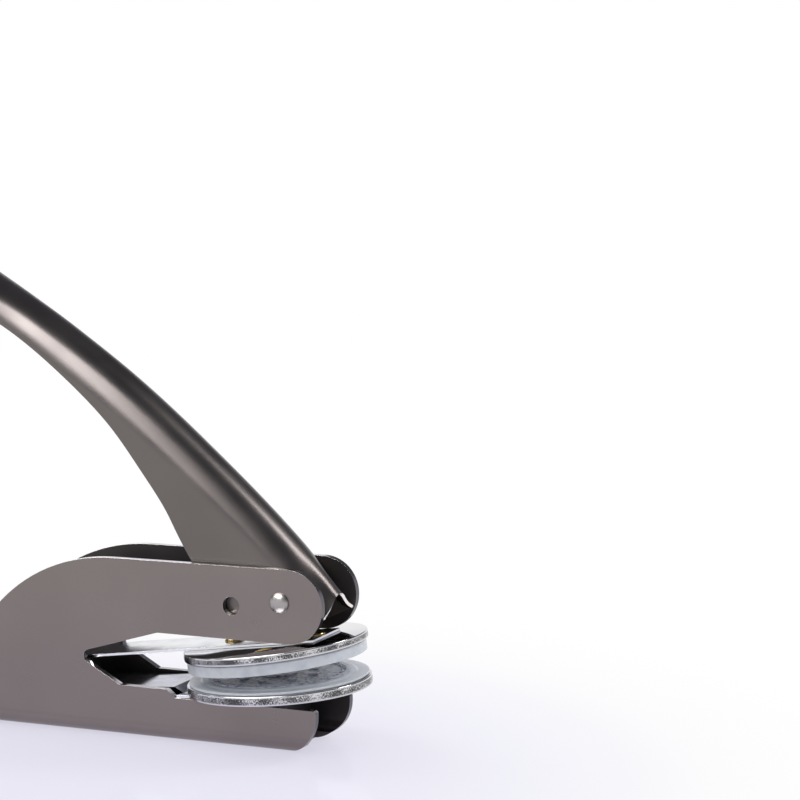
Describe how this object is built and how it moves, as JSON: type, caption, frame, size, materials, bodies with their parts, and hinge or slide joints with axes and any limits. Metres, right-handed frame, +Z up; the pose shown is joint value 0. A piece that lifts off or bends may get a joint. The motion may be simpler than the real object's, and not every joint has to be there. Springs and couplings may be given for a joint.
{
  "type": "seal embosser",
  "caption": "Hand-held seal embosser: pressed steel body with open jaws, long hollow lever on a rivet, and a chrome spring clip that carries round translucent dies.",
  "frame": {"origin": "middle of the flat underside of the body", "axes": "+X along the body towards the dies, +Y away from the pictured cheek, +Z up"},
  "size_m": [0.1599, 0.046, 0.1325],
  "materials": {
    "body_coat": "satin gunmetal coat",
    "lever_coat": "satin dark gunmetal coat",
    "anvil_coat": "matte black coat",
    "bright_steel": "bright zinc",
    "disc_steel": "polished face, finely milled rim",
    "clip_chrome": "bright nickel plate",
    "die_resin": "milky translucent resin",
    "pad_film": "adhesive film",
    "rivet_brass": "turned brass"
  },
  "bodies": {
    "frame": {"body_frame": "body_coat", "pivot_rivet": "bright_steel", "pivot_washers": "bright_steel", "anvil_block": "anvil_coat", "anvil_screws": "bright_steel", "clip_spring": "clip_chrome", "lower_carrier_disc": "disc_steel", "lower_die_pad": "pad_film", "lower_die": "die_resin", "lower_clip_rivets": "rivet_brass"},
    "lever": {"lever": "lever_coat", "pivot_spacer": "bright_steel", "roller_pin": "bright_steel", "roller_washers": "bright_steel"},
    "roller": {"presser_roller": "rivet_brass"},
    "upper_die": {"clip_upper_arm": "clip_chrome", "upper_carrier_disc": "disc_steel", "upper_die_pad": "pad_film", "upper_die": "die_resin", "upper_clip_rivets": "rivet_brass"}
  },
  "joints": [
    {"name": "lever_pivot", "type": "hinge", "parent": "frame", "child": "lever", "pos_m": [0.0662, 0, 0.03753], "axis": [0, -1, 0], "range_deg": [0, 32], "stiffness_Nm_per_rad": 0.15, "springref_deg": -57.3},
    {"name": "upper_die_flex", "type": "hinge", "parent": "frame", "child": "upper_die", "pos_m": [0.0188, 0, 0.01471], "axis": [0, 1, 0], "range_deg": [0, 4], "stiffness_Nm_per_rad": 1, "springref_deg": -2.86},
    {"name": "roller_spin", "type": "hinge", "parent": "lever", "child": "roller", "pos_m": [0.05947, 0, 0.03125], "axis": [0, 1, 0], "range_deg": [0, 87]}
  ],
  "couplings": [
    {"joint": "upper_die_flex", "follows": "lever_pivot", "ratio": 0.125},
    {"joint": "roller_spin", "follows": "lever_pivot", "ratio": 2.71}
  ]
}
